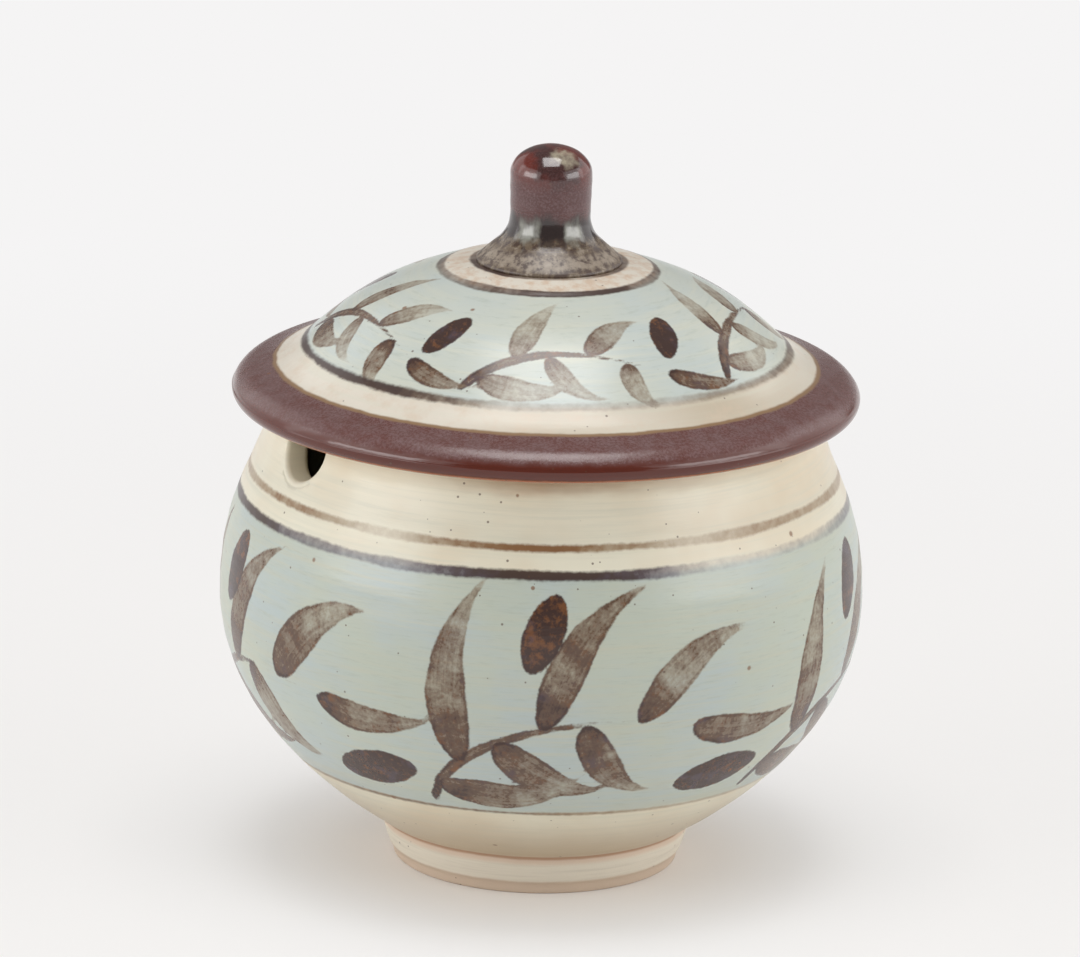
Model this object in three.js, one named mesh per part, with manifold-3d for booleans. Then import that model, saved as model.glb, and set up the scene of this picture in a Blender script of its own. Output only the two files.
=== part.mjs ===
import * as THREE from 'three';
import { mergeVertices } from 'three/addons/utils/BufferGeometryUtils.js';
import Module from 'manifold-3d';

const wasm = await Module();
wasm.setup();

// A stoneware preserve pot with its lid on, standing on its foot ring.
// Millimetres, +Z up, origin at the centre of the foot ring's underside.
// The spoon notch in the rim points along -X.

// Driving dimensions of the thrown and turned pot
const bellyRadius = 54;
const bellyHeight = 46;
const rimRadius = 45.5;
const rimHeight = 79.6;
const rimLean = 8.9;
const wall = 4.4;
const floorThickness = 6;
const floorPull = 2.4;
const shoulderPull = 12.5;
const bellyPullUp = 17.8;
const bellyPullDown = 18.8;
const undersidePull = 13.4;
const undersideSlope = 31;
const rimRounding = 1.1;

// Driving dimensions of the foot ring
const footRadius = 26;
const footHeight = 7;
const footBandHeight = 2.3;
const footBandInset = 1.35;
const footEdgeInset = 2.1;
const footWidth = 5.2;
const footRecess = 3.2;
const recessRounding = 1.5;

// Driving dimensions of the notch that a spoon's handle passes through
const notchWidth = 12;
const notchDepth = 8.9;

// Driving dimensions of the lid
const lidWall = 4.2;
const lidClearance = 1.0;
const flangeWidth = 3.6;
const flangeDepth = 3.2;
const flangeRounding = 1.2;
const brimOverhang = 6.9;
const brimThickness = 5.4;
const brimDroop = 0.9;
const brimTopSlope = 15;
const brimRisePull = 4.0;
const domeInset = 5.0;
const domeEdgeHeight = 8.9;
const domeEdgeSlope = 42;
const domePull = 11;
const crownRingRadius = 18;
const crownRingSlope = 17;
const crownRingHeight = 22.0;
const crownRingStep = 0.35;
const crownHeight = 23.3;

// Driving dimensions of the knob
const knobSeatRadius = 12.2;
const knobSeatEdge = 0.5;
const knobWaistRadius = 6.75;
const knobWaistHeight = 8.3;
const knobHeadRadius = 6.9;
const knobHeadHeight = 15.0;
const knobCapHeight = 4.8;
const knobFlareSlope = 45;
const knobFlarePull = 4.0;
const seatMargin = 0.5;

// Fineness of the facets
const roundSteps = 64;
const knobRoundSteps = 40;
const longCurveSteps = 9;
const shortCurveSteps = 6;
const edgeSteps = 3;
const leastStep = 0.01;
const weldDistance = 0.001;

const mouthRadius = rimRadius - wall;
const crown = rimHeight + crownHeight;

const radians = THREE.MathUtils.degToRad;

function point(radius, height) {
  return new THREE.Vector2(radius, height);
}

function curve(start, startHandle, endHandle, end, steps) {
  return new THREE.CubicBezierCurve(start, startHandle, endHandle, end).getPoints(steps);
}

function arc(centreRadius, centreHeight, radius, fromDegrees, toDegrees, steps) {
  const points = [];
  for (let i = 0; i <= steps; i += 1) {
    const angle = radians(fromDegrees + ((toDegrees - fromDegrees) * i) / steps);
    points.push(point(centreRadius + radius * Math.cos(angle), centreHeight + radius * Math.sin(angle)));
  }
  return points;
}

// The point that lies so far along a direction, whose angle is counted up from the outward one
function along(start, degrees, length) {
  const angle = radians(degrees);
  return point(start.x + length * Math.cos(angle), start.y + length * Math.sin(angle));
}

// The points of an outer wall moved inwards, square to the wall, by its thickness
function offset(points, thickness) {
  return points.map((here, i) => {
    const before = points[Math.max(i - 1, 0)];
    const after = points[Math.min(i + 1, points.length - 1)];
    const direction = after.clone().sub(before).normalize();
    return point(here.x - direction.y * thickness, here.y + direction.x * thickness);
  });
}

// A closed body of revolution about Z from an outline that starts and ends on the axis
function revolve(points, steps) {
  const outline = points.filter((here, i) => i === 0 || here.distanceTo(points[i - 1]) > leastStep);
  const lathe = new THREE.LatheGeometry(outline, steps);
  lathe.rotateX(Math.PI / 2);
  lathe.deleteAttribute('normal');
  lathe.deleteAttribute('uv');
  const merged = mergeVertices(lathe, weldDistance);
  const corners = merged.index.array;
  const kept = [];
  for (let i = 0; i < corners.length; i += 3) {
    const [a, b, c] = corners.slice(i, i + 3);
    if (a !== b && b !== c && c !== a) kept.push(a, b, c);
  }
  merged.setIndex(kept);
  return merged;
}

function toSolid(geometry) {
  const vertProperties = new Float32Array(geometry.attributes.position.array);
  const triVerts = new Uint32Array(geometry.index.array);
  return new wasm.Manifold(new wasm.Mesh({ numProp: 3, vertProperties, triVerts }));
}

function toGeometry(solid) {
  const mesh = solid.getMesh();
  const geometry = new THREE.BufferGeometry();
  geometry.setAttribute('position', new THREE.BufferAttribute(mesh.vertProperties, 3));
  geometry.setIndex(new THREE.BufferAttribute(mesh.triVerts, 1));
  return geometry;
}

// The outside of the pot from the crease above the foot ring to the rim
function potOutside() {
  const crease = point(footRadius, footHeight);
  const belly = point(bellyRadius, bellyHeight);
  const rim = point(rimRadius, rimHeight);
  const underside = curve(
    crease,
    along(crease, undersideSlope, undersidePull),
    point(bellyRadius, bellyHeight - bellyPullDown),
    belly,
    longCurveSteps,
  );
  const shoulder = curve(
    belly,
    point(bellyRadius, bellyHeight + bellyPullUp),
    along(rim, rimLean - 90, shoulderPull),
    rim,
    longCurveSteps,
  );
  return [...underside, ...shoulder.slice(1)];
}

// The pot: foot ring, thin rounded wall, and the flat land on the rim that carries the lid
function potOutline() {
  const outside = potOutside();
  const inside = offset(outside, wall);
  const recessRadius = footRadius - footEdgeInset - footWidth;
  const footOutline = [
    point(0, footRecess),
    ...arc(recessRadius - recessRounding, footRecess - recessRounding, recessRounding, 90, 0, edgeSteps),
    point(recessRadius, 0),
    point(footRadius - footEdgeInset, 0),
    point(footRadius - footBandInset, footBandHeight),
  ];
  const belowRim = (here) => here.y < rimHeight - rimRounding;
  const outerEdge = outside.filter(belowRim);
  const innerEdge = inside.filter(belowRim).reverse();
  const lowestInside = innerEdge[innerEdge.length - 1];
  const floor = curve(
    lowestInside,
    along(lowestInside, undersideSlope + 180, floorPull),
    point(recessRadius / 2, footRecess + floorThickness),
    point(0, footRecess + floorThickness),
    shortCurveSteps,
  );
  return [
    ...footOutline,
    ...outerEdge,
    ...arc(rimRadius - rimRounding, rimHeight - rimRounding, rimRounding, 0, 90, edgeSteps),
    ...arc(mouthRadius + rimRounding, rimHeight - rimRounding, rimRounding, 90, 180, edgeSteps),
    ...innerEdge,
    ...floor.slice(1),
  ];
}

// A straight-sided slot with a round bottom, cut in from the rim through the wall
function notchCutter() {
  const halfWidth = notchWidth / 2;
  const bottom = rimHeight - notchDepth;
  const above = rimHeight + wall;
  const slot = new THREE.Shape();
  slot.moveTo(halfWidth, above);
  slot.lineTo(-halfWidth, above);
  slot.lineTo(-halfWidth, bottom + halfWidth);
  slot.absarc(0, bottom + halfWidth, halfWidth, Math.PI, 2 * Math.PI, false);
  slot.lineTo(halfWidth, above);
  const cutter = new THREE.ExtrudeGeometry(slot, {
    depth: bellyRadius,
    bevelEnabled: false,
    curveSegments: 2 * shortCurveSteps,
  });
  cutter.rotateX(Math.PI / 2);
  cutter.rotateZ(-Math.PI / 2);
  cutter.translate(-mouthRadius / 2, 0, 0);
  cutter.deleteAttribute('normal');
  cutter.deleteAttribute('uv');
  return mergeVertices(cutter, weldDistance);
}

function makePot() {
  const body = toSolid(revolve(potOutline(), roundSteps));
  return toGeometry(body.subtract(toSolid(notchCutter())));
}

// The lid: hollow dome, overhanging brim, flat seat on the rim and a flange that stops it sliding off
function lidOutline() {
  const flangeRadius = mouthRadius - lidClearance;
  const flangeInside = flangeRadius - flangeWidth;
  const flangeBottom = rimHeight - flangeDepth;
  const brimRadius = rimRadius + brimOverhang;
  const edgeRadius = brimThickness / 2;
  const edgeCentre = point(brimRadius - edgeRadius, rimHeight - brimDroop + edgeRadius);
  const domeEdge = point(rimRadius - domeInset, rimHeight + domeEdgeHeight);
  const crownRing = point(crownRingRadius, rimHeight + crownRingHeight);
  const brimTop = along(edgeCentre, 90 - brimTopSlope, edgeRadius);
  const hollowTop = crown - lidWall;
  const hollow = curve(
    point(0, hollowTop),
    point(crownRingRadius, hollowTop),
    point(flangeInside, (domeEdge.y + hollowTop) / 2 - lidWall / 2),
    point(flangeInside, rimHeight),
    longCurveSteps,
  );
  const flange = [
    ...arc(flangeInside + flangeRounding, flangeBottom + flangeRounding, flangeRounding, 180, 270, edgeSteps),
    ...arc(flangeRadius - flangeRounding, flangeBottom + flangeRounding, flangeRounding, 270, 360, edgeSteps),
    point(flangeRadius, rimHeight),
  ];
  const brimBottom = [
    point(rimRadius, rimHeight),
    ...arc(edgeCentre.x, edgeCentre.y, edgeRadius, -90, 90 - brimTopSlope, 3 * edgeSteps),
  ];
  const brimRise = curve(
    brimTop,
    along(brimTop, 180 - brimTopSlope, brimRisePull),
    along(domeEdge, -domeEdgeSlope, brimRisePull),
    domeEdge,
    shortCurveSteps,
  );
  const dome = curve(
    domeEdge,
    along(domeEdge, 180 - domeEdgeSlope, domePull),
    along(crownRing, -crownRingSlope, domePull),
    crownRing,
    longCurveSteps,
  );
  return [
    ...hollow,
    ...flange,
    ...brimBottom,
    ...brimRise.slice(1),
    ...dome.slice(1),
    point(crownRingRadius - crownRingStep, rimHeight + crownRingHeight + crownRingStep),
    point(knobSeatRadius + seatMargin, crown),
    point(0, crown),
  ];
}

// The knob: a flared root on the crown, a waist to grip and a rounded head
function knobOutline() {
  const waist = point(knobWaistRadius, crown + knobWaistHeight);
  const head = point(knobHeadRadius, crown + knobHeadHeight);
  const seatEdge = point(knobSeatRadius, crown + knobSeatEdge);
  const flare = curve(
    seatEdge,
    along(seatEdge, 180 - knobFlareSlope, knobFlarePull),
    point(waist.x, waist.y - knobFlarePull),
    waist,
    longCurveSteps,
  );
  const cap = [];
  for (let i = 0; i <= longCurveSteps; i += 1) {
    const angle = (Math.PI / 2) * (i / longCurveSteps);
    cap.push(point(knobHeadRadius * Math.cos(angle), head.y + knobCapHeight * Math.sin(angle)));
  }
  cap[longCurveSteps].x = 0;
  return [
    point(0, crown),
    point(knobSeatRadius, crown),
    ...flare,
    ...cap,
  ];
}

function glaze(colour, roughness) {
  return new THREE.MeshStandardMaterial({ color: colour, roughness, metalness: 0 });
}

const pot = new THREE.Mesh(makePot(), glaze('#d9d6c6', 0.35));
pot.name = 'pot';

const lid = new THREE.Mesh(revolve(lidOutline(), roundSteps), glaze('#cfd3c6', 0.35));
lid.name = 'lid';

const knob = new THREE.Mesh(revolve(knobOutline(), knobRoundSteps), glaze('#5a3a34', 0.25));
knob.name = 'knob';

const marmaladePot = new THREE.Group();
for (const piece of [pot, lid, knob]) {
  piece.geometry.computeVertexNormals();
  marmaladePot.add(piece);
}

export default marmaladePot;
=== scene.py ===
import math
import random

import bmesh
import bpy
import numpy as np
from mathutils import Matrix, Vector


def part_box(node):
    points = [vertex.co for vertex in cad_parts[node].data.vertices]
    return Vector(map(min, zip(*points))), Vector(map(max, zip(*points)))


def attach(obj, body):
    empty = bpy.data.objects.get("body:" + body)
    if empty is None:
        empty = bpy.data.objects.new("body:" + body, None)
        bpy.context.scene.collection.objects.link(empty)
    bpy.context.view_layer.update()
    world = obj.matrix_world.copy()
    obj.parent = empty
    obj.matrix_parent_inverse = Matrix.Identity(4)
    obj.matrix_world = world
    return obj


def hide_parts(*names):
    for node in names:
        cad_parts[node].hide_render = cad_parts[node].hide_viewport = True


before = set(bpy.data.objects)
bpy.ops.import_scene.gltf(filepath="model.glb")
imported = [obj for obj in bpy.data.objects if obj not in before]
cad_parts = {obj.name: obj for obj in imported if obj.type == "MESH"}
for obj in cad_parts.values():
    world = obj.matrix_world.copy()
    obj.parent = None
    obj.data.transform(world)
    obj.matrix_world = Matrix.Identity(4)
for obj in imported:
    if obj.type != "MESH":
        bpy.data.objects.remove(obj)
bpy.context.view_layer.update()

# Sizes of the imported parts, in millimetres, read from the frame
MM = 0.001
pot_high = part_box("pot")[1]
lid_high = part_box("lid")[1]
knob_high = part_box("knob")[1]
BELLY_RADIUS = pot_high.x / MM
RIM_HEIGHT = pot_high.z / MM
BRIM_RADIUS = lid_high.x / MM
CROWN_HEIGHT = lid_high.z / MM
KNOB_TOP = knob_high.z / MM
KNOB_SEAT_RADIUS = knob_high.x / MM

# The potter's own sizes, in millimetres. A pull is how far a curve keeps its first direction.
BELLY_HEIGHT = 46.0
BELLY_PULL_UP = 17.8
BELLY_PULL_DOWN = 18.8
SHOULDER_PULL = 12.5
WALL = 4.4
RIM_RADIUS = 45.5
RIM_LEAN = 8.9
RIM_ROUNDING = 1.1
FOOT_RADIUS = 26.0
FOOT_HEIGHT = 7.0
FOOT_BAND = 2.3
FOOT_BAND_RADIUS = 24.65
FOOT_EDGE_RADIUS = 23.9
FOOT_WIDTH = 5.2
FOOT_RECESS = 3.2
RECESS_ROUNDING = 1.5
FOOT_INNER_ROUNDING = 0.4
FOOT_OUTER_ROUNDING = 0.5
FLOOR_HEIGHT = 9.2
FLOOR_PULL = 2.4
UNDERSIDE_SLOPE = 31.0
UNDERSIDE_PULL = 13.4
NOTCH_WIDTH = 12.0
NOTCH_DEPTH = 8.9
NOTCH_ROUNDING = 1.0
FLANGE_RADIUS = 40.1
FLANGE_WIDTH = 3.6
FLANGE_DEPTH = 3.2
FLANGE_FILLET = 0.3
SEAT_END = 1.0
BRIM_EDGE = 2.1
BRIM_BENDS = ((28, 1.8), (75, 4.8))
BRIM_DROOP = 0.9
DROOP_PULL = 1.5
DROOP_START = 0.1
BRIM_PULL = 4.0
DOME_EDGE_RADIUS = 40.5
DOME_EDGE_HEIGHT = 88.5
DOME_SLOPE = 42.0
DOME_PULL = 11.0
CROWN_RING_RADIUS = 18.0
CROWN_RING_HEIGHT = 101.6
CROWN_RING_SLOPE = 17.0
LID_WALL = 4.2
KNOB_ROOT_THICKNESS = 0.5
KNOB_ROOT_SLOPE = 135.0
KNOB_FLARE_PULL = 4.0
KNOB_NECK_PULL = 2.0
KNOB_WAIST_RADIUS = 6.75
KNOB_WAIST_HEIGHT = 111.2
KNOB_HEAD_RADIUS = 6.9
KNOB_HEAD_HEIGHT = 117.9

# Short curves of the outlines, each as its start, two pulls and its end, in millimetres
FOOT_LOW_CURVE = (
    (FOOT_EDGE_RADIUS + 0.1, 1.0),
    (FOOT_EDGE_RADIUS + 0.3, 2.0),
    (FOOT_BAND_RADIUS - 0.1, FOOT_BAND - 0.3),
    (FOOT_BAND_RADIUS, FOOT_BAND),
)
FOOT_HIGH_CURVE = (
    (FOOT_BAND_RADIUS, FOOT_BAND),
    (FOOT_BAND_RADIUS + 0.35, FOOT_BAND + 1.0),
    (FOOT_RADIUS - 0.1, FOOT_HEIGHT - 1.6),
    (FOOT_RADIUS - 0.25, FOOT_HEIGHT - 0.5),
)
CROWN_CURVE = (
    (CROWN_RING_RADIUS - 0.35, CROWN_RING_HEIGHT + 0.3),
    (CROWN_RING_RADIUS - 1, CROWN_RING_HEIGHT + 0.5),
    (KNOB_SEAT_RADIUS + 2, CROWN_HEIGHT - 0.1),
    (KNOB_SEAT_RADIUS + 0.3, CROWN_HEIGHT),
)

# How many steps a turn of the clay, a side of the notch, a stem and a stroke are drawn in
AROUND = 320
KNOB_AROUND = 200
NOTCH_STEPS = 12
STEM_STEPS = 40
STROKE_STEPS = 28

# The potter's hand: how uneven each wall is, how deep and far apart its throwing rings are, and
# between which heights, in millimetres, it shows. Elsewhere the surface is turned true.
POT_HAND = {"Unevenness": 0.5 * MM, "Ring depth": 0.03 * MM, "Ring spacing": 5.2 * MM, "Seed": 2.0}
LID_HAND = {"Unevenness": 0.3 * MM, "Ring depth": 0.02 * MM, "Ring spacing": 3.4 * MM, "Seed": 5.0}
KNOB_HAND = {"Unevenness": 0.25 * MM, "Ring depth": 0.02 * MM, "Ring spacing": 2.6 * MM, "Seed": 9.0}
POT_UNEVEN = (FOOT_HEIGHT + 1, RIM_HEIGHT - 4)
LID_UNEVEN = (81.0, 101.5)
KNOB_UNEVEN = (CROWN_HEIGHT + 0.3, math.inf)
UNEVEN_LEVEL = 0.75
UNEVEN_PER_METRE = 30.0
RING_WOBBLE = 5.0
SEAM_GAP = 2e-6

# Heights and radii of the painted rings and of the borders between glazes, in millimetres
LINE_HIGH = 67.4
ZONE_TOP = 63.2
ZONE_BOTTOM = 19.9
CREAM_BAND_RADIUS = 45.2
DOME_RING_RADIUS = 40.4
CROWN_LINE_RADIUS = 18.0
LID_OUTSIDE_HEIGHT = 83.2
BRIM_INNER_RADIUS = BRIM_RADIUS - BRIM_EDGE - 1.0

# The brush's pressure round each ring, where glazes break, and where shade and reflections are painted, as
# degrees from the painted front and amounts from 0 to 1. The painted front is a direction in degrees from
# +X.
PAINTED_FRONT = -120.9
HIGH_PRESS = ((-150, 0.5), (-75, 0.6), (-55, 0.75), (-32, 0.3), (-16, 0.75), (0, 1.0), (14, 0.7),
              (30, 0.35), (48, 0.65), (75, 0.6), (130, 0.4))
TOP_PRESS = ((-150, 0.6), (-68, 0.95), (-52, 0.6), (-30, 0.5), (-14, 0.85), (2, 1.1), (16, 0.85),
             (34, 0.15), (60, 0.25), (80, 0.5), (130, 0.8))
BOTTOM_PRESS = ((-140, 0.6), (-60, 0.7), (-10, 0.9), (30, 0.5), (60, 0.4), (140, 0.7))
DOME_PRESS = ((-150, 0.8), (-80, 1.0), (-45, 1.0), (-22, 0.7), (-8, 0.3), (28, 0.25), (48, 0.5),
              (80, 0.7), (140, 0.9))
CROWN_PRESS = ((-120, 0.8), (-60, 0.5), (-25, 0.75), (0, 0.95), (32, 1.15), (58, 0.6), (130, 0.8))
SEAT_PRESS = ((-120, 0.6), (-45, 0.95), (-10, 0.6), (20, 0.35), (60, 0.7), (120, 0.6))
# Painted shade under the brim, with a brown tint of the glaze, at the top of the neck
NECK_SHADE_AND_BROWNING = ((-120, 0.3), (-50, 0.25), (-28, 0.2), (0, 0.8), (22, 0.55), (45, 0.3), (120, 0.5))
# Pale runs on the knob's neck: partly a pale glaze, partly painted reflections of the side lamps
NECK_RUNS_AND_REFLECTIONS = ((-120, 0.4), (-62, 0.1), (-42, 0.75), (-18, 0.7), (-4, 0.1), (12, 0.1), (24, 0.75),
             (42, 0.7), (58, 0.2), (120, 0.6))
# Painted shade on the lid's cream band, darker round its front and right side
BAND_SHADE = ((-150, 0.5), (-70, 0.0), (-25, 0.1), (0, 0.75), (20, 0.5), (42, 1.0), (62, 0.6),
               (85, 0.25), (130, 0.5))

# The middle of the pale patch on top of the knob, in millimetres
CAP_PATCH = (-0.2, -4.6, 121.6)

# How rough each surface is, from 0 for a mirror to 1, and how strongly the glazes reflect
GLAZE_ROUGHNESS = 0.3
THICK_WASH_ROUGHNESS = 0.2
EDGE_ROUGHNESS = 0.14
MATT_ROUGHNESS = (0.26, 0.4)
HEAD_ROUGHNESS = 0.12
SIDES_ROUGHNESS = 0.3
ROOT_ROUGHNESS = 0.45
BARE_ROUGHNESS = 0.7
LID_IOR = 1.58
KNOB_IOR = 1.7

# The relief: a soft ripple of the glaze and a fine grit, as depths in metres and strengths
RIPPLE_DEPTH = 0.25 * MM
RIPPLE_STRENGTH = 0.35
GRIT_DEPTH = 0.06 * MM
GRIT_STRENGTH = 0.4
GLAZE_GRIT = 0.15
DOME_GRIT = 0.35
BRIM_GRIT = 1.5
KNOB_GRIT = (0.25, 1.6)
BRIM_BLOOM = 0.4
KNOB_BLOOM = (0.12, 0.36)
CAP_COVER = (0.45, 0.95)


def colour(red, green, blue):
    """A colour given as seen on screen, from 0 to 255, as Blender's linear values."""
    parts = []
    for value in (red, green, blue):
        part = value / 255
        parts.append(part / 12.92 if part <= 0.04045 else ((part + 0.055) / 1.055) ** 2.4)
    return (*parts, 1.0)


CREAM = colour(229, 224, 204)
CREAM_WARM = colour(221, 208, 183)
CREAM_GREY = colour(207, 206, 189)
CREAM_PEACH = colour(208, 188, 166)
# Brown at the top of the neck: a thin brown glaze with painted shade under the brim
CREAM_BROWN_SHADE = colour(176, 146, 118)
# Cream low on the belly: warmer, and darker as painted shade on the underside
CREAM_LOW_SHADED = colour(190, 171, 144)
CREAM_BAND = colour(220, 212, 198)
# Darker, warmer cream of the lid's band, as painted shade
CREAM_BAND_SHADE = colour(194, 181, 160)
CROWN_PEACH = colour(208, 186, 164)
CELADON = colour(185, 192, 179)
CELADON_BLUE = colour(179, 190, 189)
CELADON_CREAM = colour(192, 191, 172)
CELADON_DEEP = colour(164, 172, 160)
DOME_CELADON = colour(196, 200, 189)
DOME_BLUE = colour(190, 198, 194)
WASH_PALE = colour(164, 152, 132)
WASH_THIN = colour(140, 123, 102)
WASH_MID = colour(114, 93, 74)
WASH_THICK = colour(88, 64, 50)
WASH_DARK = colour(58, 34, 28)
RUST = colour(124, 76, 38)
VIOLET = colour(80, 68, 84)
LINE_BLUE = colour(150, 146, 148)
LINE_BEIGE = colour(186, 168, 142)
LINE_BROWN = colour(128, 86, 46)
OCHRE = colour(150, 122, 88)
BRIM_TOP = colour(106, 76, 73)
BRIM_RED = colour(98, 60, 54)
BRIM_FACE = colour(86, 30, 14)
BRIM_GREY = colour(140, 114, 118)
BRIM_BORDER = colour(140, 110, 80)
LIP_BROWN = colour(172, 98, 62)
CREASE_ORANGE = colour(176, 134, 106)
CREASE_PINK = colour(214, 188, 166)
BARE_CLAY = colour(206, 186, 166)
SLIP = colour(226, 218, 202)
SLIP_GREY = colour(212, 204, 188)
KNOB_RED = colour(98, 34, 22)
KNOB_DARK = colour(60, 30, 27)
KNOB_VIOLET = colour(82, 40, 38)
KNOB_GREY = colour(136, 112, 114)
# Pale runs on the knob's neck, partly painted reflection of the side lamps
RUN_PALE_AND_REFLECTION = colour(150, 150, 140)
NECK_BLACK = colour(42, 29, 27)
FLARE_OLIVE = colour(106, 90, 72)
FLARE_BROWN = colour(72, 54, 44)
ROOT_PALE = colour(156, 143, 128)
BEIGE = colour(166, 156, 136)

# Painted rings: middle, width, the thin, middle and thick colour, pressure and seed
RINGS = {
    "high line": (LINE_HIGH, 1.25, (LINE_BEIGE, OCHRE, LINE_BROWN), HIGH_PRESS, 31.0),
    "zone top": (ZONE_TOP, 1.5, (LINE_BLUE, VIOLET, WASH_DARK), TOP_PRESS, 36.0),
    "zone bottom": (ZONE_BOTTOM, 0.6, (LINE_BEIGE, OCHRE, WASH_MID), BOTTOM_PRESS, 41.0),
    "dome": (DOME_RING_RADIUS, 1.1, (LINE_BLUE, WASH_MID, WASH_DARK), DOME_PRESS, 61.0),
    "crown": (CROWN_LINE_RADIUS, 1.35, (WASH_MID, WASH_THICK, WASH_DARK), CROWN_PRESS, 66.0),
    "seat": (KNOB_SEAT_RADIUS + 0.2, 1.4, (WASH_MID, WASH_THICK, WASH_DARK), SEAT_PRESS, 71.0),
}
RING_SOFTNESS = 0.3
RING_WIDTHS = (0.34, 0.66)
RING_DRIFT = 0.7
RING_COVER = (0.1, 0.96)

# Washes of the brush, from the thinnest to the thickest, and how a stroke covers and pools
WASHES = ((0.0, WASH_PALE), (0.25, WASH_THIN), (0.5, WASH_MID), (0.78, WASH_THICK), (1.05, WASH_DARK))
WASH_COVER = (0.5, 0.98)
POOL_COVER = (0.3, 1.0)
POOL_DEPTH = 0.28

# Streaks of the hairs and of the drag in a stroke: scale along and across it per millimetre,
# detail, roughness, seed and strength
HAIRS = (0.06, 1.4, 3.0, 0.6, 5.0, 0.6)
DRAG = (0.42, 0.12, 2.0, 0.5, 8.0, 0.7)

# Noise in the glazes: scale round the axis and along it per millimetre, detail, roughness, seed
GRAINS = {
    "ripple": (0.12, 0.5, 3.0, 0.55, 23.0),
    "pot grit": (3.0, 3.0, 3.0, 0.6, 44.0),
    "lid grit": (1.8, 1.8, 3.0, 0.65, 78.0),
    "knob grit": (2.6, 2.6, 3.0, 0.6, 85.0),
    "knob mottle": (0.75, 0.75, 4.0, 0.65, 81.0),
}

# Patches and streaks: a grain, the values between which it rises from 0, and its share at the top
PATTERNS = {
    "cream patches": (0.05, 0.05, 3.0, 0.55, 12.0, 0.35, 0.72, 1),
    "cream streaks": (0.03, 1.1, 4.0, 0.65, 11.0, 0.42, 0.74, 0.55),
    "celadon patches": (0.05, 0.05, 3.0, 0.55, 14.0, 0.36, 0.66, 1),
    "celadon streaks": (0.03, 1.1, 4.0, 0.65, 15.0, 0.42, 0.74, 0.7),
    "celadon lines": (0.25, 2.6, 4.0, 0.65, 16.0, 0.5, 0.72, 0.4),
    "foot lines": (0.06, 1.6, 4.0, 0.65, 43.0, 0.42, 0.7, 0.8),
    "brim bloom": (2.1, 2.1, 4.0, 0.7, 53.0, 0.44, 0.7, 1),
    "brim patches": (0.35, 0.35, 3.0, 0.6, 56.0, 0.38, 0.66, 1),
    "band smears": (0.16, 0.16, 4.0, 0.7, 59.0, 0.44, 0.68, 0.6),
    "band streaks": (0.03, 1.1, 4.0, 0.65, 57.0, 0.42, 0.74, 0.5),
    "crown patches": (0.5, 0.5, 4.0, 0.65, 60.0, 0.4, 0.66, 1),
    "knob patches": (0.22, 0.22, 2.0, 0.5, 82.0, 0.42, 0.6, 1),
    "knob bloom": (3.2, 3.2, 3.0, 0.7, 86.0, 0.44, 0.62, 1),
    "wash grains": (1.1, 1.1, 4.0, 0.65, 11.5, 0.52, 0.66, 0.4),
    "wash rust": (0.3, 0.3, 4.0, 0.65, 7.0, 0.54, 0.66, 0.7),
    "wash violet": (0.22, 0.22, 3.0, 0.6, 10.0, 0.52, 0.68, 0.5),
}

# Noise that moves a border: scale round the axis and along it, size, seed and detail
SWAY_ROUGHNESS = 0.55
SWAYS = {
    "neck": (0.15, 0.4, 2.5, 2.0, 2.0),
    "zone": (0.12, 0.12, 1.4, 1.0, 2.0),
    "clay": (0.3, 0.3, 0.5, 46.0, 3.0),
    "crease": (0.2, 0.2, 0.4, 45.0, 2.0),
    "brim edge": (0.35, 0.35, 0.7, 55.0, 3.0),
    "lip": (0.4, 0.4, 0.25, 54.0, 2.0),
    "brim": (0.25, 0.25, 0.7, 76.0, 3.0),
    "knob sides": (0.5, 0.5, 1.6, 89.0, 3.0),
    "knob neck": (0.45, 0.2, 4.5, 83.0, 4.0),
    "knob runs": (0.6, 0.3, 1.3, 84.0, 4.0),
    "knob root": (0.35, 0.35, 1.6, 87.0, 4.0),
    "knob cap": (0.45, 0.45, 4.5, 88.0, 4.0),
    "stroke edge": (0.25, 0.25, 0.9, 3.0, 2.0),
    "stroke fringe": (2.0, 2.0, 0.4, 4.0, 2.0),
    "wash grain": (1.6, 1.6, 0.7, 9.0, 3.0),
    "wash drift": (0.16, 0.16, 1.1, 6.0, 2.0),
}

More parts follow.
